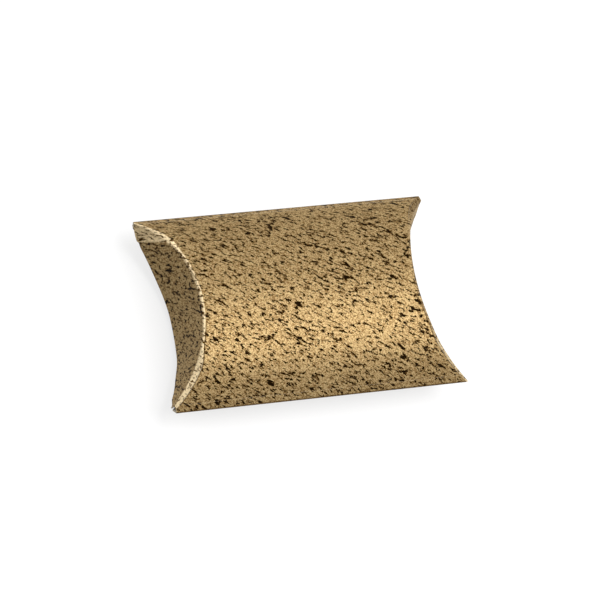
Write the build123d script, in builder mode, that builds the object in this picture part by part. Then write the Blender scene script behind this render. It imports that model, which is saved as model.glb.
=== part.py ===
from build123d import *

import math
import os

# A favor box of the pillow kind: one creased card sleeve with two lens-shaped flaps at each end.
# X runs along the straight folds, Y across them, Z up, and the box lies on the belly of its bottom panel.

# Driving dimensions in millimetres
length = 105.0  # along a straight fold, between its blunt tips
width = 70.5  # across the box, over both straight folds
rise = 13.4  # swell of one panel from the plane of the straight folds
crown_radius = 65.0  # inside radius of the panel's gently bowed middle
crown_span = 35.0  # width of that middle, before the tighter shoulders begin
inset = 16.1  # how far an end crease dips towards the middle of the box
tip_back = 2.2  # how far the tips are cut back from where crease and fold would meet
card = 0.45  # card thickness
crease_gap = 0.2  # room between a panel's end and the flap that hinges there
fold_strip = 1.5  # width of the card bent round a straight fold, on each side of it
outer_bulge = 9.4  # how far an outer flap's free edge swells past the line through the tips
inner_bulge = 1.2  # the same on an inner flap
inner_trim = 6.0  # how far an inner flap stops short of the straight folds
flap_gap = 0.3  # room between the two flaps of one end
seam_width = 12.0  # width of the glued seam tab
seam_end = 5.0  # how far the tab stops short of a tip, along the fold
seam_taper = 12.0  # how much shorter the tab's free edge is, at each end
seam_open = 0.3  # distance of the bottom panel's cut edge from the fold's inner corner
glue = 0.1  # thickness of the glue film
glue_fit = 0.03  # room on each side of the film, for the card's rough skin
glue_margin = 1.5  # bare strip between the glue and the tab's edges

# Sizes that follow from them
height = 2 * rise
half_length = length / 2
half_width = width / 2
tip_x = half_length + tip_back
bow_half = half_width - card
bow_rise = rise - card
fold_y = bow_half - fold_strip
skirt = rise + card
crown_half = crown_span / 2
crown_tilt = math.asin(crown_half / crown_radius)
run = bow_half - crown_half
fall = bow_rise - crown_radius * (1 - math.cos(crown_tilt))
shoulder_pull = fall * math.cos(crown_tilt) - run * math.sin(crown_tilt)
shoulder_radius = (run**2 + fall**2) / (2 * shoulder_pull)
shoulder_y = crown_half - shoulder_radius * math.sin(crown_tilt)
shoulder_z = fall - shoulder_radius * math.cos(crown_tilt)
seam_edge = fold_y - seam_width
seam_half = half_length - seam_end
seam_lift = card + glue + 2 * glue_fit

# The cross-section is drawn at the height of the straight folds, with Y to the right and Z up.
section_plane = Plane(origin=(0, 0, rise), x_dir=(0, 1, 0), z_dir=(1, 0, 0))
fold_plane = Plane.XY.offset(rise)
# An end crease is flat: it lies in a leaning plane through two tips and the crown of its panel.
upper_crease = Plane(origin=(tip_x, 0, rise), x_dir=(0, 1, 0), z_dir=(rise, 0, inset))
lower_crease = Plane(origin=(tip_x, 0, rise), x_dir=(0, 1, 0), z_dir=(rise, 0, -inset))


def bow(grow):
    """Return the edges round the region under the top panel's inner skin, moved out by grow."""
    tilt = math.degrees(crown_tilt)
    end = math.degrees(math.asin((-skirt - shoulder_z) / (shoulder_radius + grow)))
    sweep = 90 - tilt - end
    with BuildLine() as outline:
        CenterArc((0, bow_rise - crown_radius), crown_radius + grow, 90 - tilt, 2 * tilt)
        rear = CenterArc((shoulder_y, shoulder_z), shoulder_radius + grow, end, sweep)
        front = CenterArc((-shoulder_y, shoulder_z), shoulder_radius + grow, 90 + tilt, sweep)
        Line(front @ 1, rear @ 0)
    return outline.edges()


def sleeve(lift):
    """Return the card's section round the inside of the box, with the bottom bow lifted by lift."""
    with BuildSketch() as inside:
        make_face(bow(-lift))
        mirror(about=Plane.XZ, mode=Mode.REPLACE)
        make_face(bow(0), mode=Mode.INTERSECT)
    with BuildSketch() as ring:
        add(inside.sketch)
        offset(amount=card)
        add(inside.sketch, mode=Mode.SUBTRACT)
    return ring.sketch


def vault(grow):
    """Return the solid under the top panel's inner skin, with that skin moved out by grow."""
    with BuildPart() as body:
        with BuildSketch(section_plane):
            make_face(bow(grow))
        extrude(amount=length, both=True)
    return body.part


def outer_scoop(grow):
    """Return the space outside the right outer flap, moved in by grow: the vault mirrored in the crease."""
    return mirror(vault(card + grow), about=upper_crease, mode=Mode.PRIVATE)


def inner_scoop(grow):
    """Return the upright space past the right end crease of the bottom panel, moved in by grow."""
    crease_grow = card + grow * rise / inset
    belly = mirror(vault(crease_grow), about=fold_plane, mode=Mode.PRIVATE)
    with BuildPart() as space:
        add(section(belly, section_by=lower_crease))
        extrude(amount=height, dir=(0, 0, 1), both=True)
    return space.part


def both_ends(right):
    """Return a right-hand piece and its left-hand twin."""
    return [right, mirror(right, about=Plane.YZ, mode=Mode.PRIVATE)]


def seam_plan(margin):
    """Return the outline of the seam tab seen from above, drawn in by margin."""
    rear = fold_y - margin
    edge = seam_edge + margin
    with BuildSketch() as plan:
        with BuildLine():
            long_half = seam_half - margin
            short_half = long_half - seam_taper
            Polyline((-long_half, rear), (long_half, rear), (short_half, edge), (-short_half, edge), close=True)
        make_face()
    return plan.sketch


top_cuts = both_ends(outer_scoop(card + crease_gap))
bottom_cuts = top_cuts + both_ends(inner_scoop(card + crease_gap))

# Top panel
with BuildPart() as top_panel:
    with BuildSketch(section_plane):
        add(sleeve(0))
        with Locations((0, rise / 2)):
            Rectangle(2 * fold_y, rise, mode=Mode.INTERSECT)
    extrude(amount=half_length, both=True)
    add(top_cuts, mode=Mode.SUBTRACT)

# Bottom panel, whose rear edge is cut and lies over the seam tab
with BuildPart() as bottom_panel:
    with BuildSketch(section_plane):
        add(sleeve(0))
        with Locations((-fold_y, -rise)):
            bottom_width = fold_y + bow_half - seam_open
            Rectangle(bottom_width, rise, align=(Align.MIN, Align.MIN), mode=Mode.INTERSECT)
    extrude(amount=half_length, both=True)
    add(bottom_cuts, mode=Mode.SUBTRACT)

# Front fold, where the sheet bends from the top panel to the bottom panel
with BuildPart() as front_fold:
    with BuildSketch(section_plane):
        add(sleeve(0))
        with Locations((-fold_y, 0)):
            Rectangle(half_width, height, align=(Align.MAX, Align.CENTER), mode=Mode.INTERSECT)
    extrude(amount=half_length, both=True)
    add(top_cuts, mode=Mode.SUBTRACT)

# Rear fold, where the sheet bends from the top panel to the seam tab
with BuildPart() as rear_fold:
    with BuildSketch(section_plane):
        add(sleeve(seam_lift))
        with Locations((fold_y, 0)):
            Rectangle(half_width, height, align=(Align.MIN, Align.CENTER), mode=Mode.INTERSECT)
    extrude(amount=half_length, both=True)
    add(top_cuts, mode=Mode.SUBTRACT)

# Seam tab, glued inside the bottom panel
with BuildPart() as seam_tab:
    with BuildSketch(section_plane):
        add(sleeve(seam_lift))
        with Locations((seam_edge, 0)):
            Rectangle(seam_width, rise, align=(Align.MIN, Align.MAX), mode=Mode.INTERSECT)
    extrude(amount=half_length, both=True)
    with BuildSketch(Plane.XY):
        add(seam_plan(0))
    extrude(amount=height, mode=Mode.INTERSECT)

# Glue film between the tab and the bottom panel
with BuildPart() as seam_glue:
    with BuildSketch(section_plane):
        make_face(bow(-glue_fit))
        make_face(bow(-glue_fit - glue), mode=Mode.SUBTRACT)
        mirror(about=Plane.XZ, mode=Mode.REPLACE)
    extrude(amount=half_length, both=True)
    with BuildSketch(Plane.XY):
        add(seam_plan(glue_margin))
    extrude(amount=rise, mode=Mode.INTERSECT)

# Outer flap, hinged on the top panel: the sheet past the crease, mirrored in the plane of the crease
with BuildPart() as right_outer_flap:
    with BuildSketch(section_plane):
        make_face(bow(2 * card))
        make_face(bow(card), mode=Mode.SUBTRACT)
        Rectangle(width, 2 * height, align=(Align.CENTER, Align.MIN), mode=Mode.INTERSECT)
    extrude(amount=tip_x + outer_bulge)
    with BuildSketch(Plane.XY):
        with BuildLine():
            free_edge = ThreePointArc((tip_x, -half_width), (tip_x + outer_bulge, 0), (tip_x, half_width))
            Polyline(free_edge @ 1, (0, half_width), (0, -half_width), free_edge @ 0)
        make_face()
    extrude(amount=2 * height, mode=Mode.INTERSECT)
    mirror(about=upper_crease, mode=Mode.REPLACE)
    add(vault(card), mode=Mode.INTERSECT)
    with BuildSketch(Plane.XY):
        Rectangle(length, width)
    extrude(amount=height, mode=Mode.INTERSECT)

# Inner flap, hinged on the bottom panel and standing upright behind the outer flap
with BuildPart() as right_inner_flap:
    add(inner_scoop(card))
    add(inner_scoop(0), mode=Mode.SUBTRACT)
    with BuildSketch(section_plane):
        make_face(bow(card))
        mirror(about=Plane.XZ, mode=Mode.REPLACE)
        with BuildLine():
            free_edge = ThreePointArc((-half_width, 0), (0, inset + inner_bulge - rise), (half_width, 0))
            Polyline(free_edge @ 1, (half_width, -rise), (-half_width, -rise), free_edge @ 0)
        make_face(mode=Mode.INTERSECT)
        Rectangle(width - 2 * inner_trim, 2 * height, mode=Mode.INTERSECT)
    extrude(amount=tip_x, mode=Mode.INTERSECT)
    add(outer_scoop(card + flap_gap), mode=Mode.SUBTRACT)

os.makedirs("parts", exist_ok=True)
pieces = {
    "top_panel": top_panel.part,
    "bottom_panel": bottom_panel.part,
    "front_fold": front_fold.part,
    "rear_fold": rear_fold.part,
    "seam_tab": seam_tab.part,
    "seam_glue": seam_glue.part,
    "right_outer_flap": right_outer_flap.part,
    "right_inner_flap": right_inner_flap.part,
    "left_outer_flap": mirror(right_outer_flap.part, about=Plane.YZ),
    "left_inner_flap": mirror(right_inner_flap.part, about=Plane.YZ),
}
for name, piece in pieces.items():
    piece.label = name
    export_step(piece, f"parts/{name}.step")
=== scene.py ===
"""Dresses the pillow favor box: printed card, rounded creases, cut edges, and a plain studio."""

import logging
import math
from dataclasses import dataclass, field
from enum import Enum

import bmesh
import bpy
from mathutils import Matrix, Vector
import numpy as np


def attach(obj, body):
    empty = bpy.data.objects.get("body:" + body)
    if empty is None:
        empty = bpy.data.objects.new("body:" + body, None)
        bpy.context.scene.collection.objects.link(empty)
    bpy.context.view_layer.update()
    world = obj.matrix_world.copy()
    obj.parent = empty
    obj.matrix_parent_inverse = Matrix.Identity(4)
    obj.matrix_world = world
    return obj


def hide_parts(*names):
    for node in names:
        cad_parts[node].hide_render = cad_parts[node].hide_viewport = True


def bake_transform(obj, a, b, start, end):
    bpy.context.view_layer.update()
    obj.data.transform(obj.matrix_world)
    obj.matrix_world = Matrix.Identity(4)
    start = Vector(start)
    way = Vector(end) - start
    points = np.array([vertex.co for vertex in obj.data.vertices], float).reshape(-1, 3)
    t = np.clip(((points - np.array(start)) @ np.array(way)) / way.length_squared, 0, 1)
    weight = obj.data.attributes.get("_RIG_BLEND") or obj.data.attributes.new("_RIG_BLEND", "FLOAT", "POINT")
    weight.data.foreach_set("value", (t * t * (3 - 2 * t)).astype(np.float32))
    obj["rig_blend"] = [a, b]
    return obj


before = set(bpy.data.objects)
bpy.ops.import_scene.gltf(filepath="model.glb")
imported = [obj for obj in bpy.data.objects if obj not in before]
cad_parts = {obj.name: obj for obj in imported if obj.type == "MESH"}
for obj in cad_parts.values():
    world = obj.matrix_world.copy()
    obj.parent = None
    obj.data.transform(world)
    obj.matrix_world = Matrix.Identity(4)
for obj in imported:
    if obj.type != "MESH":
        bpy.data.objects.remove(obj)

MM = 0.001  # metres
BLANK_MM = 100.0  # one unit of the blank's UV map
HALF = 0.5  # of the unit square that a card piece is laid from
ON_CUT = 1e-7  # metres within which a point lies on a cut
MOVED = 1e-6  # metres, for all its points together, past which a skin has moved
PRINT_UV = "blank"
BLANK_U = "blank_u"
BLANK_V = "blank_v"
# Pale ridge share: worn coat and painted highlight.
RUB_HIGHLIGHT_ATTR = "ridge"
# Painted shade share: score lines, fold bends and a rear strip of ridge.
PAINTED_SHADE_ATTR = "score"
TURNED = "turned"
LOG = logging.getLogger("favor_box")

Pair = tuple[float, float]
Triple = tuple[float, float, float]
Steps = tuple[int, int]
Tree = bpy.types.NodeTree
Socket = bpy.types.NodeSocket
Material = bpy.types.Material


class End(Enum):
    """The two ends of the box, by the sign of X."""

    LEFT = -1
    RIGHT = 1


class Side(Enum):
    """The two straight folds, by the sign of Y."""

    FRONT = -1
    REAR = 1


class Layer(Enum):
    """The two bowed halves of the box, by the sign of Z."""

    TOP = 1
    BOTTOM = -1


class Face(Enum):
    """Material places on a card piece."""

    PRINT = 0
    INSIDE = 1
    CUT = 2


def linear(code: str) -> tuple[float, float, float, float]:
    """Turn an sRGB hex colour into a linear RGBA value.

    Args:
        code: The colour as #rrggbb.

    Returns:
        The linear colour with full alpha.
    """
    parts = [int(code[i : i + 2], 16) / 255 for i in (1, 3, 5)]
    red, green, blue = (c / 12.92 if c <= 0.04045 else ((c + 0.055) / 1.055) ** 2.4 for c in parts)
    return red, green, blue, 1.0


def smooth(value: float, low: float, high: float) -> float:
    """Ease from 0 at low to 1 at high.

    Args:
        value: The number to place.
        low: Where the ramp starts.
        high: Where it ends.

    Returns:
        The eased share.
    """
    share = min(1.0, max(0.0, (value - low) / (high - low)))
    return share * share * (3 - 2 * share)


def hump(value: float, rise: Pair, fall: Pair) -> float:
    """Ease from 0 to 1 over the rise, and back to 0 over the fall."""
    return smooth(value, *rise) * (1 - smooth(value, *fall))


def add_node(
    tree: Tree,
    kind: str,
    inputs: dict[str | int, object] | None = None,
    **settings: object,
) -> bpy.types.Node:
    """Add a node with its settings and links.

    Args:
        tree: The node tree that takes it.
        kind: The node's type name.
        inputs: Values for its sockets, or sockets to link from.
        **settings: Values of the node's own properties.

    Returns:
        The new node.
    """
    made = tree.nodes.new(kind)
    for key, value in settings.items():
        setattr(made, key, value)
    for key, value in (inputs or {}).items():
        if isinstance(value, Socket):
            tree.links.new(value, made.inputs[key])
        else:
            made.inputs[key].default_value = value
    return made


def new_material(name: str) -> tuple[Material, Tree, bpy.types.Node]:
    """Make an empty node material with its output.

    Args:
        name: The material's name.

    Returns:
        The material, its tree and its output node.
    """
    made = bpy.data.materials.new(name)
    made.use_nodes = True
    made.node_tree.nodes.clear()
    return made, made.node_tree, add_node(made.node_tree, "ShaderNodeOutputMaterial")


@dataclass(frozen=True)
class PearlGoldCard:
    """Folding boxboard with a pearl-gold coat and a torn dark speckle, printed in one pass."""

    # Metal flakes in the coat give a soft golden sheen with a sandy grain. The ink lies on it dark
    # and flat, with thin brown edges. Pale board shows where a crease has worn the coat off, and
    # that pale colour is also painted along the ridges and on a flap corner as a highlight.
    name: str = "pearl_gold_speckled_card"
    light_gold: str = "#bfa677"
    deep_gold: str = "#6c4e29"
    ink: str = "#140900"
    bleed: str = "#57390d"  # the thin edge of the ink
    # Pale ridge colour: worn coat, and a painted highlight on the ridges and a flap corner.
    rub_and_highlight: str = "#f9e2b6"
    # Painted shade in score lines, along fold bends and on a rear strip of ridge.
    painted_shade: str = "#463012"
    sheen: str = "#fff4dc"
    gloss: float = 0.02
    metallic: float = 0.4
    roughness: float = 0.46
    flake_mm: float = 0.3  # flakes are finer, drawn this coarse so that they show
    flake_share: float = 0.55  # how much of the sandy grain is flakes
    grain_mm: float = 0.28
    grain_rugged: float = 0.6
    sand: Pair = (0.22, 0.78)  # levels of the grain that are all deep gold and all light gold
    bump: float = 0.07
    bump_mm: float = 0.1
    streak: float = 2.4  # length of a speck over its width
    streak_turn: float = 32.0  # degrees between the streaks and the straight folds
    shift: Pair = (-9.0, 21.0)  # where the sheet was cut out of the print, in millimetres
    dash_mm: float = 0.88
    dash_from: float = 0.55  # level of the noise where a small speck starts
    dash_rugged: float = 0.64
    blot_mm: float = 2.2
    blot_from: float = 0.588  # level of the noise where a large speck starts
    blot_rugged: float = 0.72
    speck_detail: float = 4.5
    speck_wobble: float = 0.25
    torn_edge: float = 0.05  # levels over which a speck's edge fades
    cluster_mm: float = 11.0
    crowding: float = 0.08  # how unevenly the specks lie
    soft_detail: float = 2.0  # octaves of the grain and of the clusters
    bare: Pair = (0.2, 0.6)  # grain levels where the pale ridge (worn, painted highlight) breaks up
    bare_least: float = 0.75  # how pale it stays below them
    ink_lost: float = 0.4  # share of the ink lost under the pale ridge, worn and painted highlight
    bleed_end: float = 0.5  # share of full ink at which the bleed turns into it

    def build(self) -> Material:
        """Make the node material.

        Returns:
            The material, laid out on the map of the flat blank.
        """
        made, tree, out = new_material(self.name)
        flat = add_node(tree, "ShaderNodeUVMap", uv_map=PRINT_UV).outputs["UV"]
        streaked = add_node(
            tree,
            "ShaderNodeMapping",
            {
                "Vector": flat,
                "Location": (self.shift[0] / BLANK_MM, self.shift[1] / BLANK_MM, 0),
                "Rotation": (0, 0, -math.radians(self.streak_turn)),
                "Scale": (self.streak, 1, 1),
            },
            vector_type="TEXTURE",
        ).outputs["Vector"]
        sandy = self.grain(tree, flat, streaked)
        # How pale the ridge is: worn coat and painted highlight.
        ridge = add_node(tree, "ShaderNodeAttribute", attribute_name=RUB_HIGHLIGHT_ATTR).outputs["Fac"]
        specks = self.speckle(tree, streaked)
        kept = add_node(
            tree, "ShaderNodeMath", {0: ridge, 1: -self.ink_lost, 2: 1.0}, operation="MULTIPLY_ADD"
        )
        inked = add_node(
            tree, "ShaderNodeMath", {0: specks, 1: kept.outputs[0]}, operation="MULTIPLY"
        ).outputs[0]
        metal = add_node(
            tree, "ShaderNodeMapRange", {"Value": inked, "To Min": self.metallic, "To Max": 0.0}
        )
        bump = add_node(
            tree,
            "ShaderNodeBump",
            {"Height": sandy, "Strength": self.bump, "Distance": self.bump_mm * MM},
        )
        shader = add_node(
            tree,
            "ShaderNodeBsdfPrincipled",
            {
                "Base Color": self.printed(tree, self.coat(tree, sandy, ridge), inked),
                "Metallic": metal.outputs["Result"],
                "Roughness": self.roughness,
                "Specular IOR Level": self.gloss,
                "Specular Tint": linear(self.sheen),
                "Normal": bump.outputs["Normal"],
            },
        )
        tree.links.new(shader.outputs["BSDF"], out.inputs["Surface"])
        return made

    def grain(self, tree: Tree, flat: Socket, streaked: Socket) -> Socket:
        """Mix the streaked grain of the coat with its flakes.

        Args:
            tree: The material's node tree.
            flat: Places on the blank.
            streaked: The same places, drawn out along the streaks.

        Returns:
            The level of the sandy grain.
        """
        grain = add_node(
            tree,
            "ShaderNodeTexNoise",
            {
                "Vector": streaked,
                "Scale": BLANK_MM / self.grain_mm,
                "Detail": self.soft_detail,
                "Roughness": self.grain_rugged,
            },
            noise_dimensions="2D",
        )
        flakes = add_node(
            tree,
            "ShaderNodeTexVoronoi",
            {"Vector": flat, "Scale": BLANK_MM / self.flake_mm},
            voronoi_dimensions="2D",
        )
        tones = add_node(tree, "ShaderNodeSeparateColor", {"Color": flakes.outputs["Color"]})
        return add_node(
            tree,
            "ShaderNodeMix",
            {"Factor": self.flake_share, "A": grain.outputs["Fac"], "B": tones.outputs["Red"]},
            data_type="FLOAT",
        ).outputs["Result"]

    def speckle(self, tree: Tree, streaked: Socket) -> Socket:
        """Draw the torn specks, small dashes and larger blots, which crowd together in places.

        Args:
            tree: The material's node tree.
            streaked: Places on the blank, drawn out along the streaks.

        Returns:
            How much ink there is.
        """
        clusters = add_node(
            tree,
            "ShaderNodeTexNoise",
            {"Vector": streaked, "Scale": BLANK_MM / self.cluster_mm, "Detail": self.soft_detail},
            noise_dimensions="2D",
        )
        crowd = add_node(
            tree,
            "ShaderNodeMath",
            {0: clusters.outputs["Fac"], 1: self.crowding, 2: -self.crowding / 2},
            operation="MULTIPLY_ADD",
        )
        masks = []
        for size, start, rugged in (
            (self.dash_mm, self.dash_from, self.dash_rugged),
            (self.blot_mm, self.blot_from, self.blot_rugged),
        ):
            specks = add_node(
                tree,
                "ShaderNodeTexNoise",
                {
                    "Vector": streaked,
                    "Scale": BLANK_MM / size,
                    "Detail": self.speck_detail,
                    "Roughness": rugged,
                    "Distortion": self.speck_wobble,
                },
                noise_dimensions="2D",
            )
            level = add_node(
                tree,
                "ShaderNodeMath",
                {0: specks.outputs["Fac"], 1: crowd.outputs[0]},
                operation="ADD",
            )
            mask = add_node(
                tree,
                "ShaderNodeMapRange",
                {"Value": level.outputs[0], "From Min": start, "From Max": start + self.torn_edge},
                interpolation_type="SMOOTHSTEP",
            )
            masks.append(mask.outputs["Result"])
        return add_node(
            tree, "ShaderNodeMath", {0: masks[0], 1: masks[1]}, operation="MAXIMUM"
        ).outputs[0]

    def coat(self, tree: Tree, sandy: Socket, ridge: Socket) -> Socket:
        """Colour the gold coat, worn pale along the ridges and painted pale there as a highlight.

        Args:
            tree: The material's node tree.
            sandy: The level of the sandy grain.
            ridge: How pale the ridge is, from wear and painted highlight.

        Returns:
            The coat's colour.
        """
        sand = add_node(
            tree,
            "ShaderNodeMapRange",
            {"Value": sandy, "From Min": self.sand[0], "From Max": self.sand[1]},
        )
        patchy = add_node(
            tree,
            "ShaderNodeMapRange",
            {
                "Value": sandy,
                "From Min": self.bare[0],
                "From Max": self.bare[1],
                "To Min": self.bare_least,
            },
        )
        worn = add_node(
            tree, "ShaderNodeMath", {0: ridge, 1: patchy.outputs["Result"]}, operation="MULTIPLY"
        )
        deep, light = linear(self.deep_gold), linear(self.light_gold)
        gold = add_node(
            tree,
            "ShaderNodeMix",
            {"Factor": sand.outputs["Result"], "A": deep, "B": light},
            data_type="RGBA",
        )
        return add_node(
            tree,
            "ShaderNodeMix",
            {"Factor": worn.outputs[0], "A": gold.outputs["Result"], "B": linear(self.rub_and_highlight)},
            data_type="RGBA",
        ).outputs["Result"]

    def printed(self, tree: Tree, coat: Socket, inked: Socket) -> Socket:
        """Lay the ink on the coat, thin at its edges, then the painted shade of creases and folds.

        Args:
            tree: The material's node tree.
            coat: The coat's colour.
            inked: How much ink there is.

        Returns:
            The printed colour.
        """
        layers = []
        for low, high, tint in ((0.0, self.bleed_end, self.bleed), (self.bleed_end, 1.0, self.ink)):
            share = add_node(
                tree, "ShaderNodeMapRange", {"Value": inked, "From Min": low, "From Max": high}
            )
            layers.append((share.outputs["Result"], tint))
        # Painted shade: score lines, fold bends and a rear strip of ridge.
        score = add_node(tree, "ShaderNodeAttribute", attribute_name=PAINTED_SHADE_ATTR)
        layers.append((score.outputs["Fac"], self.painted_shade))
        colour = coat
        for share, tint in layers:
            colour = add_node(
                tree,
                "ShaderNodeMix",
                {"Factor": share, "A": colour, "B": linear(tint)},
                data_type="RGBA",
            ).outputs["Result"]
        return colour


@dataclass(frozen=True)
class FaintFibre:
    """A plain pale finish with faint fibres in it, as bare board and dried paste have."""

    name: str
    pale: str
    deep: str
    fibre_mm: float = 0.8
    detail: float = 4.0
    roughness: float = 0.85
    bump: float = 0.2
    bump_mm: float = 0.1

    def build(self) -> Material:
        """Make the node material.

        Returns:
            The material.
        """
        made, tree, out = new_material(self.name)
        place = add_node(tree, "ShaderNodeTexCoord")
        fibre = add_node(
            tree,
            "ShaderNodeTexNoise",
            {
                "Vector": place.outputs["Object"],
                "Scale": 1 / (self.fibre_mm * MM),
                "Detail": self.detail,
            },
        ).outputs["Fac"]
        tone = add_node(
            tree,
            "ShaderNodeMix",
            {"Factor": fibre, "A": linear(self.deep), "B": linear(self.pale)},
            data_type="RGBA",
        )
        bump = add_node(
            tree,
            "ShaderNodeBump",
            {"Height": fibre, "Strength": self.bump, "Distance": self.bump_mm * MM},
        )
        shader = add_node(
            tree,
            "ShaderNodeBsdfPrincipled",
            {
                "Base Color": tone.outputs["Result"],
                "Roughness": self.roughness,
                "Normal": bump.outputs["Normal"],
            },
        )
        tree.links.new(shader.outputs["BSDF"], out.inputs["Surface"])
        return made


@dataclass(frozen=True)
class PaleFloor:
    """Matt studio paper, white to the camera and quieter to the light that it bounces."""

    # An even pale ground, on which the box keeps a light and soft shadow.
    name: str = "pale_studio_floor"
    seen: str = "#fbfbfb"
    bounced: str = "#808080"
    glow: str = "#ffffff"
    white: float = 0.7  # share of the seen tone that is plain white, to lighten the shadow

    def build(self) -> Material:
        """Make the node material.

        Returns:
            The material.
        """
        made, tree, out = new_material(self.name)
        path = add_node(tree, "ShaderNodeLightPath").outputs
        shown = path["Is Camera Ray"]
        for ray in ("Is Glossy Ray", "Is Transmission Ray"):
            shown = add_node(
                tree, "ShaderNodeMath", {0: shown, 1: path[ray]}, operation="MAXIMUM"
            ).outputs[0]
        tone = add_node(
            tree,
            "ShaderNodeMix",
            {"Factor": shown, "A": linear(self.bounced), "B": linear(self.seen)},
            data_type="RGBA",
        )
        matt = add_node(tree, "ShaderNodeBsdfDiffuse", {"Color": tone.outputs["Result"]})
        glow = add_node(tree, "ShaderNodeEmission", {"Color": linear(self.glow), "Strength": 1.0})
        share = add_node(tree, "ShaderNodeMath", {0: shown, 1: self.white}, operation="MULTIPLY")
        shader = add_node(
            tree,
            "ShaderNodeMixShader",
            {"Fac": share.outputs[0], 1: matt.outputs["BSDF"], 2: glow.outputs["Emission"]},
        )
        tree.links.new(shader.outputs["Shader"], out.inputs["Surface"])
        return made


@dataclass(frozen=True)
class BoxSizes:
    """Sizes of the folded box in millimetres, the same as the solids have."""

    length: float = 105.0
    width: float = 70.5
    rise: float = 13.4
    crown_radius: float = 65.0
    crown_span: float = 35.0
    inset: float = 16.1
    tip_back: float = 2.2
    card: float = 0.45
    fold_strip: float = 1.5
    outer_bulge: float = 9.4
    inner_bulge: float = 1.2
    inner_trim: float = 6.0
    seam_width: float = 12.0
    seam_end: float = 5.0
    seam_taper: float = 12.0
    seam_open: float = 0.3
    seam_gap: float = 0.16

    @property
    def half_width(self) -> float:
        """Half the width over the straight folds."""
        return self.width / 2

    @property
    def tip_x(self) -> float:
        """Where an end crease would meet a straight fold."""
        return self.length / 2 + self.tip_back

    @property
    def bow_half(self) -> float:
        """Half the inside width."""
        return self.half_width - self.card

    @property
    def fold_y(self) -> float:
        """Where a straight fold's strip starts."""
        return self.bow_half - self.fold_strip

    @property
    def lean(self) -> float:
        """How far an end crease runs along X for each unit of height."""
        return self.inset / self.rise

    def crease_x(self, height: float) -> float:
        """Place an end crease along X from its height over the plane of the folds."""
        return self.tip_x - self.lean * abs(height)

    def arch(self, bulge: float, across: float) -> float:
        """Height of a circular arch over the line through the tips, at a place across the box."""
        radius = (self.half_width**2 + bulge**2) / (2 * bulge)
        return bulge - radius + math.sqrt(radius**2 - across**2)


@dataclass(frozen=True)
class BowedSkin:
    """One skin of a bowed panel: a gently bowed crown between two tighter shoulders.

    Heights are over the plane of the straight folds, and runs are lengths along the skin from its
    crown, with the sign of Y.
    """

    sizes: BoxSizes
    grow: float  # distance of this skin outside the panel's inner skin
    fold_take: float = 0.05  # width that the bend of a straight fold takes up on the blank

    @property
    def crown_tilt(self) -> float:
        """Slope of the skin where the crown meets a shoulder."""
        return math.asin(self.sizes.crown_span / 2 / self.sizes.crown_radius)

    @property
    def shoulder(self) -> Triple:
        """Find the round of a shoulder's inner skin.

        Returns:
            Its centre's Y and height, and its radius.
        """
        s = self.sizes
        tilt = self.crown_tilt
        half = s.crown_span / 2
        run = s.bow_half - half
        fall = s.rise - s.card - s.crown_radius * (1 - math.cos(tilt))
        pull = fall * math.cos(tilt) - run * math.sin(tilt)
        radius = (run**2 + fall**2) / (2 * pull)
        return half - radius * math.sin(tilt), fall - radius * math.cos(tilt), radius

    def point(self, run: float) -> Pair:
        """Find a point of the skin.

        Args:
            run: Length along the skin from its crown.

        Returns:
            Y and height.
        """
        s = self.sizes
        side = math.copysign(1.0, run)
        crown = s.crown_radius + self.grow
        if abs(run) <= crown * self.crown_tilt:
            tilt = abs(run) / crown
            height = crown * math.cos(tilt) + s.rise - s.card - s.crown_radius
            return side * crown * math.sin(tilt), height
        centre_y, centre_z, radius = self.shoulder
        bend = radius + self.grow
        tilt = self.crown_tilt + (abs(run) - crown * self.crown_tilt) / bend
        return side * (centre_y + bend * math.sin(tilt)), centre_z + bend * math.cos(tilt)

    def run_to(self, across: float) -> float:
        """Measure along the skin to a place across the box.

        Args:
            across: The place, as Y.

        Returns:
            The length from the crown.
        """
        side = math.copysign(1.0, across)
        crown = self.sizes.crown_radius + self.grow
        if abs(across) <= crown * math.sin(self.crown_tilt):
            return side * crown * math.asin(abs(across) / crown)
        centre_y, _, radius = self.shoulder
        bend = radius + self.grow
        tilt = math.asin((abs(across) - centre_y) / bend)
        return side * (crown * self.crown_tilt + bend * (tilt - self.crown_tilt))

    def corner(self, lift: float) -> Pair:
        """Find where the top panel's inner skin meets the bottom one's.

        Args:
            lift: How far the bottom one is lifted.

        Returns:
            Y and height.
        """
        centre_y, centre_z, radius = self.shoulder
        height = (radius**2 - (radius - lift) ** 2) / (-4 * centre_z)
        return centre_y + math.sqrt(radius**2 - (height - centre_z) ** 2), height

    def on_blank(self, run: float, layer: Layer) -> float:
        """Place a run across the flat blank, where the bottom panel lies past the front fold.

        Args:
            run: Length along the skin from its crown.
            layer: The panel that it is measured on.

        Returns:
            The distance from the crown of the top panel.
        """
        if layer is Layer.TOP:
            return run
        return -2 * self.run_to(self.sizes.half_width - self.fold_take) - run


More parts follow.
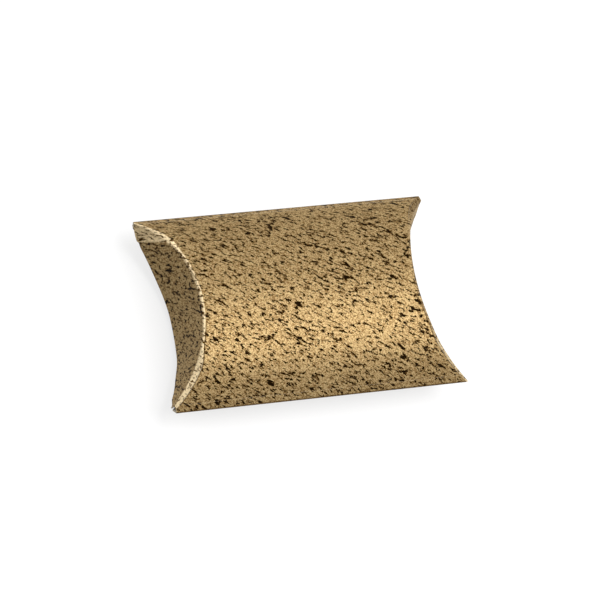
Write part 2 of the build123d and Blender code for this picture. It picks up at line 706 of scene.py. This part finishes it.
@dataclass(frozen=True)
class Ridge:
    """The rounded ridge that an end crease leaves on the outside of the card, in millimetres.

    Towards the front fold the card gave way beside its score, which left a narrow facet with a
    score line. Towards the rear fold the ridge widens too, and the corner of the flap isn't folded
    down as far. Places across the box come in pairs: ends are where a form begins and where it is
    full, and fade is where it weakens and where it is gone.
    """

    reach: float = 0.64  # how far the rounding starts from the crease
    facet: float = 1.3  # how much further where the front facet is
    facet_ends: Pair = (15.5, 24.0)
    rear_facet: float = 0.75  # how much further towards the rear fold
    rear_ends: Pair = (18.0, 24.0)
    rear_fade: Pair = (27.0, 31.0)
    flattened: float = 0.85  # how far a facet pulls the rounding flat
    score_ends: Pair = (7.0, 12.0)
    rear_score: float = 0.0  # score groove and its painted shade towards the rear fold
    rear_shade: float = 0.0  # painted shade on the ridge itself there
    rub_and_highlight: Pair = (1.0, 1.0)  # wear and painted highlight on ridge and front facet
    lift: float = 1.65  # how far the flap's rear half stands out
    lift_ends: Pair = (3.0, 24.0)
    lift_fade: Pair = (26.5, 32.5)
    front_lift: float = 1.0  # how far its front corner does
    front_ends: Pair = (12.0, 22.0)
    front_fade: Pair = (28.5, 32.0)
    corner_from: float = 24.05  # where the turned-out rear corner begins
    corner_slope: float = 1.65  # how much further down it reaches for each step towards the tip
    corner_lean: float = 0.36  # how far it leans out for each step down
    corner_ends: Pair = (20.5, 23.5)
    corner_fade: Pair = (28.5, 33.5)
    least_bend: float = 0.9  # least distance of the bend under that corner from the crease
    least_rest: float = 0.4  # least length of the flap past the bend
    lit_past: float = 0.6  # how far the corner's painted highlight runs past its bend
    lit_edge: float = 0.8  # how soft the painted highlight's edge is
    worn: Pair = (0.5, 0.2)  # painted highlight on the corner, and how much more at its start
    lit_fade: Pair = (25.0, 29.0)

    def facet_share(self, across: float) -> float:
        """How much of the front facet there is at a place across the box."""
        return smooth(-across, *self.facet_ends) if self.facet else 0.0

    def rear_share(self, across: float) -> float:
        """How much of the wide rear ridge there is at a place across the box."""
        return hump(across, self.rear_ends, self.rear_fade) if self.rear_facet else 0.0

    def score_share(self, across: float) -> float:
        """How much of the score line there is at a place across the box."""
        rear = self.rear_score * self.rear_share(across)
        return max(smooth(-across, *self.score_ends), rear) if self.facet else 0.0

    def setback(self, across: float) -> float:
        """Distance between the crease and the start of its rounding."""
        wider = self.facet * self.facet_share(across) + self.rear_facet * self.rear_share(across)
        return self.reach + wider

    def pull(self, across: float) -> float:
        """How far the rounding is flattened into a facet."""
        return self.flattened * (self.facet_share(across) + self.rear_share(across))

    def rub(self, across: float) -> float:
        """How pale the ridge is at a place across the box, from wear and painted highlight."""
        ridge, facet = self.rub_and_highlight
        return ridge + (facet - ridge) * self.facet_share(across)

    def corner_edge(self, across: float) -> float:
        """How far down the flap its turned-out rear corner reaches."""
        return self.corner_slope * (across - self.corner_from)

    def stand_out(self, across: float, down: float, length: float) -> float:
        """How far the flap stands out near its corners.

        Args:
            across: Place across the box.
            down: Distance down the flap from its crease.
            length: Length of the flap there.

        Returns:
            The distance out of the folded flap's own surface.
        """
        bend = min(length, max(self.least_bend, self.corner_edge(across)))
        most = min(self.corner_lean * bend, self.lift)
        corner = most * hump(across, self.corner_ends, self.corner_fade)
        edge = self.lift * hump(across, self.lift_ends, self.lift_fade)
        edge += self.front_lift * hump(-across, self.front_ends, self.front_fade)
        if down < bend:
            return corner * down / bend
        return corner + (edge - corner) * (down - bend) / max(self.least_rest, length - bend)

    def corner_highlight(self, across: float, down: float) -> float:
        """How much painted highlight lies on the turned-out rear corner.

        Args:
            across: Place across the box.
            down: Distance down the flap from its crease.

        Returns:
            The highlight's share, which is 0 on a flap that doesn't stand out.
        """
        if not self.lift:
            return 0.0
        inside = smooth(self.corner_edge(across + self.lit_past) - down, 0.0, self.lit_edge)
        least, more = self.worn
        return self.rub_and_highlight[0] * inside * (least + more * (1 - smooth(across, *self.lit_fade)))


@dataclass(frozen=True)
class WornTip:
    """A tip of the box whose corner is worn off at a slant."""

    end: End
    side: Side
    start: float  # where the wear begins across the box, in millimetres
    slant: float  # how much it cuts back for each step towards the fold


@dataclass(frozen=True)
class Spot:
    """Where a point of the sheet is: on the folded box and on the flat blank, in millimetres."""

    place: Vector  # with the height over the plane of the folds
    blank: Pair
    rub_and_highlight: float = 0.0  # share of worn coat and painted highlight
    painted_shade: float = 0.0  # share of painted shade in creases and folds
    turned: float = 0.0  # share of its flap's turn that it takes


@dataclass
class CardPiece:
    """A piece of the folded card: a fine grid on its outer skin, made as thick as the card."""

    node: str  # of the solid that it stands for
    sizes: BoxSizes
    finishes: list[Material]
    steps: Steps  # of the grid, along the box and across it
    edge_round: float = 0.07
    sharp_angle: float = 50.0  # degrees between two faces past which their edge looks sharp
    worn_tips: tuple[WornTip, ...] = (
        WornTip(End.LEFT, Side.FRONT, 31.2, 0.34),
        WornTip(End.RIGHT, Side.REAR, 33.4, 0.6),
    )
    sharp_tip: float = 1.3  # how much further out the right front tip is cut than the others

    @property
    def name(self) -> str:
        """The piece's own name."""
        return f"{self.node}_card"

    def end_at(self, u: float) -> End:
        """The end of the box that is nearer to a place along it."""
        return End.LEFT if u < HALF else End.RIGHT

    def lay(self, u: float, v: float) -> Spot:
        """Lay a point of the unit square on the folded card.

        Args:
            u: Place along the box, from 0 to 1.
            v: Place across the card, from 0 to 1.

        Returns:
            Where the point is.
        """
        raise NotImplementedError

    def outward(self, place: Vector) -> Vector:
        """A direction that points away from the inside of the box at a place."""
        return Vector((0.0, place.y, place.z - self.sizes.rise * MM))

    def build(self) -> bpy.types.Object:
        """Make the piece's object.

        Returns:
            The object, linked to the scene.
        """
        bm = bmesh.new()
        along, across = self.steps
        bmesh.ops.create_grid(bm, x_segments=along, y_segments=across, size=HALF)
        names = (BLANK_U, BLANK_V, RUB_HIGHLIGHT_ATTR, PAINTED_SHADE_ATTR, TURNED)
        blank_u, blank_v, ridge, score, turned = map(bm.verts.layers.float.new, names)
        for vert in bm.verts:
            spot = self.lay(vert.co.x + HALF, vert.co.y + HALF)
            vert.co = (spot.place + Vector((0.0, 0.0, self.sizes.rise))) * MM
            vert[blank_u], vert[blank_v] = spot.blank
            vert[ridge], vert[score], vert[turned] = spot.rub_and_highlight, spot.painted_shade, spot.turned
        self.trim(bm)
        self.share_inside(bm, self.thicken(bm))
        self.unfold(bm)
        self.soften(bm)
        for name in (BLANK_U, BLANK_V):
            bm.verts.layers.float.remove(bm.verts.layers.float[name])
        mesh = bpy.data.meshes.new(self.name)
        bm.to_mesh(mesh)
        bm.free()
        for face in mesh.polygons:
            face.use_smooth = True
        mesh.set_sharp_from_angle(angle=math.radians(self.sharp_angle))
        for finish in self.finishes:
            mesh.materials.append(finish)
        piece = bpy.data.objects.new(self.name, mesh)
        bpy.context.scene.collection.objects.link(piece)
        return piece

    def trim(self, bm: bmesh.types.BMesh) -> None:
        """Cut the sheet back to the blunt tips, whose corners are worn at a slant.

        Args:
            bm: The sheet, one face thick.
        """
        half = self.sizes.length / 2
        lean = self.sharp_tip / self.sizes.width
        cuts = [
            (Vector((-half, 0, 0)), Vector((-1, 0, 0))),
            (Vector((half + self.sharp_tip / 2, 0, 0)), Vector((1, lean, 0))),
        ]
        for tip in self.worn_tips:
            end, side = tip.end.value, tip.side.value
            corner = Vector((end * half, side * tip.start, 0))
            cuts.append((corner, Vector((end, side * tip.slant, 0))))
        for place, normal in cuts:
            bmesh.ops.bisect_plane(
                bm,
                geom=bm.verts[:] + bm.edges[:] + bm.faces[:],
                dist=ON_CUT,
                plane_co=place * MM,
                plane_no=normal.normalized(),
                clear_outer=True,
            )

    def thicken(self, bm: bmesh.types.BMesh) -> list[bmesh.types.BMVert]:
        """Give the sheet the card's thickness on its inner side, and mark its kinds of face.

        Args:
            bm: The sheet, one face thick.

        Returns:
            The vertices of the inner skin.
        """
        bm.normal_update()
        middle = min(bm.faces, key=lambda face: face.calc_center_median().y ** 2)
        if middle.normal.dot(self.outward(middle.calc_center_median())) < 0:
            bmesh.ops.reverse_faces(bm, faces=bm.faces[:])
        bm.normal_update()
        outer = set(bm.verts)
        skin = {vert: vert.co.copy() for vert in outer}
        bmesh.ops.solidify(bm, geom=bm.faces[:], thickness=self.sizes.card * MM)
        moved = sum((vert.co - co).length for vert, co in skin.items() if vert.is_valid) > MOVED
        for face in bm.faces:
            known = sum(vert in outer for vert in face.verts)
            if 0 < known < len(face.verts):
                face.material_index = Face.CUT.value
            elif (known == 0) == moved:
                face.material_index = Face.PRINT.value
            else:
                face.material_index = Face.INSIDE.value
        return [vert for vert in bm.verts if (vert in outer) == moved]

    def share_inside(self, bm: bmesh.types.BMesh, inner: list[bmesh.types.BMVert]) -> None:
        """Give the inner skin its own share of the turn, on a piece that turns."""

    def unfold(self, bm: bmesh.types.BMesh) -> None:
        """Give every corner its place on the flat blank, so the print runs on over the creases.

        Args:
            bm: The thick piece.
        """
        layers = bm.verts.layers.float
        blank_u, blank_v = layers[BLANK_U], layers[BLANK_V]
        uv = bm.loops.layers.uv.new(PRINT_UV)
        for face in bm.faces:
            for loop in face.loops:
                vert = loop.vert
                loop[uv].uv = (vert[blank_u] / BLANK_MM, vert[blank_v] / BLANK_MM)

    def soften(self, bm: bmesh.types.BMesh) -> None:
        """Break the sharp corners of the cut edges.

        Args:
            bm: The thick piece.
        """
        corners = [
            edge
            for edge in bm.edges
            if len(edge.link_faces) == 2
            and sum(face.material_index == Face.CUT.value for face in edge.link_faces) == 1
        ]
        bmesh.ops.bevel(
            bm,
            geom=corners,
            offset=self.edge_round * MM,
            offset_type="OFFSET",
            affect="EDGES",
            segments=2,
            profile=0.5,
            material=-1,
            clamp_overlap=True,
        )


@dataclass(kw_only=True)
class Panel(CardPiece):
    """A bowed panel between its two end creases and the straight folds."""

    layer: Layer
    front: float  # where it starts across the box
    rear: float  # where it ends
    ridges: dict[End, Ridge]
    steps: Steps = (96, 96)
    end_strip: float = 1.6  # strip at each end with finer steps
    end_share: float = 1 / 12  # share of the grid that lies on it
    score_depth: float = 0.12
    # Painted shade along the score line, beside its real groove.
    score_shade: float = 0.8
    score_fade: Pair = (0.15, 0.5)  # distances from the ridge over which the score line ends

    def lay(self, u: float, v: float) -> Spot:
        """Lay a point of the unit square on the panel.

        Args:
            u: Place along the box, from 0 to 1.
            v: Place across the panel, from 0 to 1.

        Returns:
            Where the point is.
        """
        skin = BowedSkin(self.sizes, self.sizes.card)
        low, high = skin.run_to(self.front), skin.run_to(self.rear)
        run = low + (high - low) * v
        across, height = skin.point(run)
        ridge = self.ridges[self.end_at(u)]
        reach = self.sizes.crease_x(height) - ridge.setback(across)
        share = min(u, 1 - u) / self.end_share
        back = self.end_strip * share
        if share >= 1:
            inner_share = (share - 1) / (HALF / self.end_share - 1)
            back = self.end_strip + (reach - self.end_strip) * inner_share
        line = ridge.score_share(across) * (1 - smooth(back, *self.score_fade))
        along = math.copysign(reach - back, u - HALF)
        level = self.layer.value * (height - self.score_depth * line)
        blank = along, skin.on_blank(run, self.layer)
        return Spot(Vector((along, across, level)), blank, painted_shade=self.score_shade * line)


@dataclass(kw_only=True)
class StraightFold(CardPiece):
    """The strip of card that is bent round a straight fold."""

    side: Side
    ridges: dict[End, Ridge]
    under_ridge: Ridge
    steps: Steps = (96, 25)
    lift: float = 0.0  # how far the lower leg is lifted to lie inside the bottom panel
    leg_share: float = 0.4  # share of the grid on each leg, with the rest on the bend
    fold_shade: float = 0.75  # painted shade along the bend of the fold
    fold_shade_fade: Pair = (0.35, 0.85)  # distances from its middle over which it ends

    def lay(self, u: float, v: float) -> Spot:
        """Lay a point of the unit square on the bent strip.

        Args:
            u: Place along the box, from 0 to 1.
            v: Place round the fold from the top, from 0 to 1.

        Returns:
            Where the point is.
        """
        s = self.sizes
        skin = BowedSkin(s, s.card)
        lower = BowedSkin(s, s.card - self.lift)
        centre_y, centre_z = skin.corner(self.lift)
        shoulder_y, _, radius = skin.shoulder
        tilt = math.asin((centre_y - shoulder_y) / radius)
        lower_tilt = math.asin((centre_y - shoulder_y) / (radius - self.lift))
        bend = math.pi - lower_tilt - tilt
        start = skin.run_to(s.fold_y)
        leg = skin.run_to(centre_y + s.card * math.sin(tilt)) - start
        if v < self.leg_share:
            run = start + leg * v / self.leg_share
            across, height = skin.point(run)
        elif v <= 1 - self.leg_share:
            turn = tilt + bend * (v - self.leg_share) / (1 - 2 * self.leg_share)
            run = start + leg + s.card * (turn - tilt)
            across = centre_y + s.card * math.sin(turn)
            height = centre_z + s.card * math.cos(turn)
        else:
            end = lower.run_to(centre_y + s.card * math.sin(lower_tilt))
            back = (end - lower.run_to(s.fold_y)) * (v - 1 + self.leg_share) / self.leg_share
            across, height = lower.point(end - back)
            height = -height
            run = start + leg + s.card * bend + back
        ridge = self.ridges[self.end_at(u)] if height > 0 else self.under_ridge
        side = self.side.value
        along = (2 * u - 1) * (s.crease_x(height) - ridge.setback(side * across))
        # A line of painted shade runs along the middle of the bend.
        off_middle = abs(run - start - leg - s.card * bend / 2)
        fold_shade = self.fold_shade * (1 - smooth(off_middle, *self.fold_shade_fade))
        return Spot(Vector((along, side * across, height)), (along, side * run), painted_shade=fold_shade)


@dataclass(kw_only=True)
class EndFlap(CardPiece):
    """A lens-shaped end flap with the rounded ridge of its curved crease."""

    end: End
    layer: Layer
    body: str
    half_span: float  # how far it reaches across the box, from the middle
    free_bulge: float  # how far its free edge swells past the line through the tips
    swing: float  # how far it opens, in radians
    ridge: Ridge
    bent: float = 0.4  # share of the grid that lies on the rounding
    tip_round: float = 0.6  # how much the free edge is rounded off at its rear end
    tip_ends: Pair = (31.0, 33.5)
    rub_highlight_fade: Pair = (0.75, 1.25)  # where the pale ridge ends, in reaches of the rounding
    shade_fade: Pair = (0.8, 1.6)  # where the painted shade on the ridge ends, likewise
    # Painted shade of the score line.
    score_shade: float = 0.8
    score_width: float = 0.2
    face_up: float = 0.3  # how far the closed flap faces up, or down at the bottom

    @property
    def hang(self) -> Pair:
        """Direction of the closed flap away from its crease.

        Returns:
            Its parts along X outwards and Z.
        """
        if self.layer is Layer.TOP:
            return math.cos(self.swing), -math.sin(self.swing)
        return 0.0, 1.0

    @property
    def opened(self) -> Pair:
        """Direction of the flap at the end of its crease's range.

        Returns:
            Its parts along X outwards and Z.
        """
        out, up = self.hang
        turn = self.layer.value * self.swing
        cos, sin = math.cos(turn), math.sin(turn)
        return out * cos - up * sin, out * sin + up * cos

    def drop(self, across: float, height: float) -> float:
        """Measure the flap from its crease to its free edge.

        Args:
            across: Place across the box.
            height: Height of the crease there, over the plane of the folds.

        Returns:
            The length.
        """
        rise = self.sizes.arch(self.free_bulge, across)
        if self.layer is Layer.BOTTOM:
            return height + rise
        rise -= self.tip_round * smooth(across, *self.tip_ends)
        return self.sizes.tip_x + rise - self.sizes.crease_x(height)

    def lay(self, u: float, v: float) -> Spot:
        """Lay a point of the unit square on the flap.

        Args:
            u: Place down the flap, from 0 at the start of its rounding to 1 at its free edge.
            v: Place across the box, from 0 to 1.

        Returns:
            Where the point is.
        """
        skin = BowedSkin(self.sizes, self.sizes.card)
        run = skin.run_to(self.half_span) * (2 * v - 1)
        across, height = skin.point(run)
        crease, base = self.sizes.crease_x(height), self.layer.value * height
        ridge = self.ridge
        reach, pull = ridge.setback(across), ridge.pull(across)
        length = self.drop(across, height) - reach
        share = (u - self.bent) / (1 - self.bent)
        down = max(0.0, length * share)
        flat = reach + down if share > 0 else reach * (2 * u / self.bent - 1)
        stand = ridge.stand_out(across, down, length)
        x, z = self.bend(flat, reach, pull, self.hang, stand)
        ahead, above = self.bend(flat, reach, pull, self.opened, 0.0)
        # Pale ridge: wear and painted highlight. Lit corner: painted highlight. Lines: painted shade.
        low, high = (reach * part for part in self.rub_highlight_fade)
        rub_and_highlight = ridge.rub(across) * (1 - smooth(abs(flat), low, high))
        if share > 0:
            rub_and_highlight = max(rub_and_highlight, ridge.corner_highlight(across, down))
        line = self.score_shade * ridge.score_share(across)
        line *= 1 - smooth(flat + reach, 0.0, self.score_width)
        low, high = (reach * part for part in self.shade_fade)
        shade = ridge.rear_shade * ridge.rear_share(across) * (1 - smooth(flat, low, high))
        return Spot(
            Vector((self.end.value * (crease + x), across, base + z)),
            (self.end.value * (crease + flat), skin.on_blank(run, self.layer)),
            rub_and_highlight,
            max(line, shade),
            self.turn_share((crease + x, base + z), (crease + ahead, base + above)),
        )

    def bend(self, flat: float, reach: float, pull: float, way: Pair, stand: float) -> Pair:
        """Place a point of the card that runs over the crease.

        Args:
            flat: Its distance past the crease on the flat blank.
            reach: How far the rounding starts from the crease.
            pull: How far the rounding is flattened into a facet.
            way: Direction of the flap along X outwards and Z.
            stand: How far the point stands out of the flap's surface.

        Returns:
            Its place from the crease, along X outwards and Z.
        """
        out, up = way
        if flat >= reach:
            return out * flat - up * stand, up * flat + out * stand
        turn = (flat / reach + 1) / 2
        middle = pull * turn * (1 - turn) * reach
        x = (out - 1) * middle - (1 - turn) ** 2 * reach + turn**2 * reach * out
        return x, up * middle + turn**2 * reach * up

    def turn_share(self, closed: Pair, opened: Pair) -> float:
        """Find how far a point turns about the crown of the crease while its flap opens.

        The share is the turn, seen from that crown, that takes the point from its closed place to
        its opened one. So the crease and the tips stay on the box, and the card hardly stretches.

        Args:
            closed: The closed place, along X outwards and Z over the plane of the folds.
            opened: The opened place.

        Returns:
            The turn as a share of the joint's range.
        """
        crown_x = self.sizes.crease_x(self.sizes.rise)
        crown_z = self.layer.value * self.sizes.rise
        after, before = (math.atan2(z - crown_z, x - crown_x) for x, z in (opened, closed))
        turn = math.remainder(self.layer.value * (after - before), math.tau)
        return min(1.0, max(0.0, turn / self.swing))

    def share_inside(self, bm: bmesh.types.BMesh, inner: list[bmesh.types.BMVert]) -> None:
        """Turn an outer flap's inner skin so that it comes to lie under the print when open.

        Args:
            bm: The flap's mesh.
            inner: The vertices of its inner skin.
        """
        if self.layer is Layer.BOTTOM:
            return
        blank_u, turned = bm.verts.layers.float[BLANK_U], bm.verts.layers.float[TURNED]
        skin = BowedSkin(self.sizes, 0.0)
        for vert in inner:
            _, height = skin.point(skin.run_to(vert.co.y / MM))
            closed = self.end.value * vert.co.x / MM, vert.co.z / MM - self.sizes.rise
            vert[turned] = self.turn_share(closed, (self.end.value * vert[blank_u], height))

    def outward(self, place: Vector) -> Vector:
        """A direction that points away from the inside of the box at a place."""
        return Vector((self.end.value, 0.0, self.face_up * self.layer.value))

    def flex(self, piece: bpy.types.Object) -> None:
        """Bend the flap between the sleeve and its own body, about its curved crease.

        The joint's line touches the crease only at its crown, so the even blend between two planes
        is replaced by each point's own share of the turn.

        Args:
            piece: The flap's object.
        """
        rise, layer = self.sizes.rise, self.layer.value
        crown_x = self.end.value * self.sizes.crease_x(rise)
        crown = Vector((crown_x, 0.0, rise + layer * rise)) * MM
        foot = crown - Vector((0.0, 0.0, layer * rise)) * MM
        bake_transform(piece, "sleeve", self.body, crown, foot)
        shares = [0.0] * len(piece.data.vertices)
        piece.data.attributes[TURNED].data.foreach_get("value", shares)
        piece.data.attributes["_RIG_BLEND"].data.foreach_set("value", shares)


@dataclass(kw_only=True)
class SeamTab(CardPiece):
    """The glued tab inside the bottom panel, along the rear fold."""

    steps: Steps = (60, 16)

    def lay(self, u: float, v: float) -> Spot:
        """Lay a point of the unit square on the tab.

        Args:
            u: Place along the box, from 0 to 1.
            v: Place across the tab from its free edge, from 0 to 1.

        Returns:
            Where the point is.
        """
        s = self.sizes
        skin = BowedSkin(s, -s.seam_gap)
        low, high = skin.run_to(s.fold_y - s.seam_width), skin.run_to(s.fold_y)
        run = low + (high - low) * v
        across, height = skin.point(run)
        half = s.length / 2 - s.seam_end - s.seam_taper * (s.fold_y - across) / s.seam_width
        along = (2 * u - 1) * half
        return Spot(Vector((along, across, -height)), (along, 2 * high - run))


@dataclass
class FavorBox:
    """The whole box: its panels, folds, flaps and seam tab, dressed in printed card."""

    sizes: BoxSizes = BoxSizes()
    left_ridge: Ridge = Ridge()
    right_ridge: Ridge = Ridge(
        facet=0.7,
        rear_facet=1.7,
        rear_ends=(19.0, 30.0),
        rear_fade=(40.0, 41.0),
        rear_score=0.9,
        rear_shade=0.55,
        rub_and_highlight=(0.12, 0.5),
        lift=0.8,
        front_lift=0.0,
    )
    plain_ridge: Ridge = Ridge(
        facet=0.0, rear_facet=0.0, rub_and_highlight=(0.4, 0.4), lift=0.0, front_lift=0.0
    )
    edge_back: float = 0.9  # how much flatter an outer flap's free edge is than the solid's
    flap_room: float = 0.2  # how far an outer flap stops short of the full width
    outer_steps: Steps = (50, 110)
    inner_steps: Steps = (50, 90)

    @property
    def upper_ridges(self) -> dict[End, Ridge]:
        """The ridges of the top panel's two end creases."""
        return {End.LEFT: self.left_ridge, End.RIGHT: self.right_ridge}

    def finishes(self) -> list[Material]:
        """Make the card's materials.

        Returns:
            The materials in the order of the kinds of face.
        """
        return [
            PearlGoldCard().build(),
            # The bare back of the board: off-white pulp, quite matt, with faint fibres.
            FaintFibre("uncoated_boxboard", "#ece6da", "#d9d1c2").build(),
            # The board's core where the die cut it: cream to tan, with short fibres.
            FaintFibre("cut_boxboard_edge", "#efe6d3", "#c9b592", fibre_mm=0.4).build(),
        ]

    def sleeve(self, card: list[Material]) -> list[CardPiece]:
        """Plan the pieces that stay still.

        Args:
            card: The card's materials.

        Returns:
            The panels, the folds and the seam tab.
        """
        s = self.sizes
        upper = self.upper_ridges
        return [
            Panel(
                "top_panel",
                s,
                card,
                layer=Layer.TOP,
                front=-s.fold_y,
                rear=s.fold_y,
                ridges=upper,
            ),
            Panel(
                "bottom_panel",
                s,
                card,
                layer=Layer.BOTTOM,
                front=-s.fold_y,
                rear=s.bow_half - s.seam_open,
                ridges={end: self.plain_ridge for end in End},
            ),
            StraightFold(
                "front_fold",
                s,
                card,
                side=Side.FRONT,
                ridges=upper,
                under_ridge=self.plain_ridge,
            ),
            StraightFold(
                "rear_fold",
                s,
                card,
                side=Side.REAR,
                ridges=upper,
                under_ridge=self.plain_ridge,
                lift=s.card + s.seam_gap,
            ),
            SeamTab("seam_tab", s, card),
        ]

    def flaps(self, end: End, card: list[Material]) -> list[EndFlap]:
        """Plan the two flaps of one end.

        Args:
            end: The end of the box.
            card: The card's materials.

        Returns:
            The outer flap and the inner flap.
        """
        s = self.sizes
        side = end.name.lower()
        return [
            EndFlap(
                f"{side}_outer_flap",
                s,
                card,
                steps=self.outer_steps,
                end=end,
                layer=Layer.TOP,
                body=f"{side}_outer",
                half_span=s.half_width - self.flap_room,
                free_bulge=s.outer_bulge - self.edge_back,
                swing=2 * math.atan2(s.rise, s.inset),
                ridge=self.upper_ridges[end],
            ),
            EndFlap(
                f"{side}_inner_flap",
                s,
                card,
                steps=self.inner_steps,
                end=end,
                layer=Layer.BOTTOM,
                body=f"{side}_inner",
                half_span=s.half_width - s.inner_trim,
                free_bulge=s.inset + s.inner_bulge - s.rise,
                swing=math.atan2(s.rise, s.inset),
                ridge=self.plain_ridge,
            ),
        ]

    def build(self) -> list[bpy.types.Object]:
        """Build every piece and tie it to its body.

        Returns:
            The pieces.
        """
        card = self.finishes()
        made = []
        for part in self.sleeve(card):
            piece = part.build()
            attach(piece, "sleeve")
            made.append(self.settle(part, piece))
        for end in End:
            for flap in self.flaps(end, card):
                piece = flap.build()
                flap.flex(piece)
                made.append(self.settle(flap, piece))
        return made

    def settle(self, part: CardPiece, piece: bpy.types.Object) -> bpy.types.Object:
        """Drop a piece's turn shares and hide the solid that it stands for.

        Args:
            part: The piece's plan.
            piece: Its object.

        Returns:
            The object.
        """
        piece.data.attributes.remove(piece.data.attributes[TURNED])
        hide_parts(part.node)
        return piece


@dataclass
class GlueFilm:
    """The glue between the seam tab and the bottom panel, which keeps its solid's shape."""

    node: str = "seam_glue"
    roughness: float = 0.45

    def dress(self) -> bpy.types.Object:
        """Give the film its finish.

        Returns:
            The film's object.
        """
        # Starch paste dried to a thin film: yellowish, with a weak satin gloss.
        paste = FaintFibre("dried_starch_glue", "#ddd3b8", "#cdbf9c", roughness=self.roughness)
        film = bpy.data.objects[self.node]
        film.data.materials.clear()
        film.data.materials.append(paste.build())
        return film


@dataclass
class Studio:
    """A plain pale floor, two soft lamps in a dim room, and the photograph's camera."""

    centre: Vector = field(default_factory=lambda: Vector((0.0, 0.0, BoxSizes().rise * MM)))
    azimuth: float = -43.36
    elevation: float = 62.23
    roll: float = 34.21
    distance: float = 1.2712
    view_angle: float = 9.222
    nudge: Pair = (0.00029, 0.00073)  # metres to the right and up, to frame as the photograph does
    near: float = 0.05
    lamp_distance: float = 0.9
    key_from: Triple = (0.36, -0.13, 0.92)
    key_size: float = 0.75
    key_power: float = 7.6
    rim_from: Triple = (-0.58, 0.74, 0.35)
    rim_size: float = 0.7
    rim_power: float = 2.8
    sky: Pair = (0.1, 0.78)  # strength of the room's light on its dark side and on its bright side
    sky_from: Triple = (0.5, 0.0, 0.87)  # direction of the bright side
    sky_span: Pair = (-0.3, 0.9)  # how far along that direction the two sides end
    floor_half: float = 4.0

    def build(self) -> None:
        """Make the floor, the lights and the camera."""
        self.floor()
        self.lights()
        self.camera()

    def floor(self) -> None:
        """Lay a wide pale floor."""
        mesh = bpy.data.meshes.new("floor")
        bm = bmesh.new()
        bmesh.ops.create_grid(bm, x_segments=1, y_segments=1, size=self.floor_half)
        bm.to_mesh(mesh)
        bm.free()
        mesh.materials.append(PaleFloor().build())
        floor = bpy.data.objects.new("floor", mesh)
        bpy.context.scene.collection.objects.link(floor)

    def lights(self) -> None:
        """Hang the two softboxes and light the room, which is darker to the left and below."""
        self.softbox("key_softbox", self.key_from, self.key_size, self.key_power)
        self.softbox("rim_softbox", self.rim_from, self.rim_size, self.rim_power)
        world = bpy.data.worlds.new("studio_room")
        world.use_nodes = True
        tree = world.node_tree
        place = add_node(tree, "ShaderNodeTexCoord")
        side = add_node(
            tree,
            "ShaderNodeVectorMath",
            {0: place.outputs["Generated"], 1: self.sky_from},
            operation="DOT_PRODUCT",
        )
        level = add_node(
            tree,
            "ShaderNodeMapRange",
            {
                "Value": side.outputs["Value"],
                "From Min": self.sky_span[0],
                "From Max": self.sky_span[1],
                "To Min": self.sky[0],
                "To Max": self.sky[1],
            },
            interpolation_type="SMOOTHSTEP",
        )
        room = tree.nodes["Background"].inputs
        room["Color"].default_value = linear("#ffffff")
        tree.links.new(level.outputs["Result"], room["Strength"])
        bpy.context.scene.world = world

    def softbox(self, name: str, direction: Triple, size: float, power: float) -> None:
        """Hang a round softbox that looks at the box.

        Args:
            name: The lamp's name.
            direction: Where it hangs, seen from the box.
            size: Its width in metres.
            power: Its power in watts.
        """
        lamp = bpy.data.lights.new(name, "AREA")
        lamp.shape = "DISK"
        lamp.size = size
        lamp.energy = power
        hung = bpy.data.objects.new(name, lamp)
        aim = Vector(direction).normalized()
        hung.location = self.centre + aim * self.lamp_distance
        hung.rotation_euler = aim.to_track_quat("Z", "Y").to_euler()
        bpy.context.scene.collection.objects.link(hung)

    def camera(self) -> None:
        """Set the camera at the photograph's angle, with its roll."""
        turn, lift, roll = (math.radians(a) for a in (self.azimuth, self.elevation, self.roll))
        flat = math.cos(lift)
        back = Vector((math.sin(turn) * flat, -math.cos(turn) * flat, math.sin(lift)))
        level = Vector((math.cos(turn), math.sin(turn), 0.0))
        upright = back.cross(level)
        right = level * math.cos(roll) + upright * math.sin(roll)
        up = upright * math.cos(roll) - level * math.sin(roll)
        data = bpy.data.cameras.new("camera")
        data.sensor_fit = "HORIZONTAL"
        data.angle = math.radians(self.view_angle)
        data.clip_start = self.near
        eye = bpy.data.objects.new("camera", data)
        place = self.centre + back * self.distance + right * self.nudge[0] + up * self.nudge[1]
        axes = Matrix((right, up, back)).transposed().to_4x4()
        eye.matrix_world = Matrix.Translation(place) @ axes
        bpy.context.scene.collection.objects.link(eye)
        bpy.context.scene.camera = eye


def main() -> None:
    """Build the box and the studio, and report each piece."""
    logging.basicConfig(level=logging.INFO)
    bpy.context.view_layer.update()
    for piece in [*FavorBox().build(), GlueFilm().dress()]:
        LOG.info("%s: %d faces", piece.name, len(piece.data.polygons))
    Studio().build()
    bpy.context.scene.view_settings.view_transform = "Standard"


if __name__ == "__main__":
    main()
